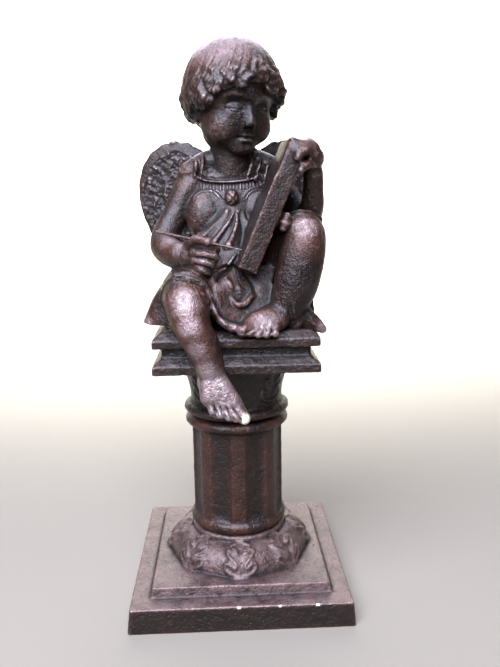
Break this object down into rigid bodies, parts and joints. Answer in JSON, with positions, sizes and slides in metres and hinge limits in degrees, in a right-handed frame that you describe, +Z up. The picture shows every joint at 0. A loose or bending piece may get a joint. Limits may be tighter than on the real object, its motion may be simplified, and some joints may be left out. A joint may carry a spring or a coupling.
{
  "type": "angel statue",
  "caption": "Seated child angel in a gathered dress, with a drawing board and brush, on a fluted column with a square leafed plinth.",
  "frame": {"origin": "middle of the plinth's underside", "axes": "+Z up the column, -Y the way the figure faces, +X to the side of its raised knee"},
  "size_m": [0.2248, 0.2248, 0.5688],
  "materials": {
    "cast_iron": "bronze-brown paint over a sand-cast skin, rubbed reddish on the high places",
    "brush_rod": "thin rod in the same paint, rubbed bright"
  },
  "bodies": {
    "root": {"plinth": "cast_iron", "shaft": "cast_iron", "capital": "cast_iron", "seat_slab": "cast_iron", "angel": "cast_iron", "brush": "brush_rod"}
  },
  "joints": []
}
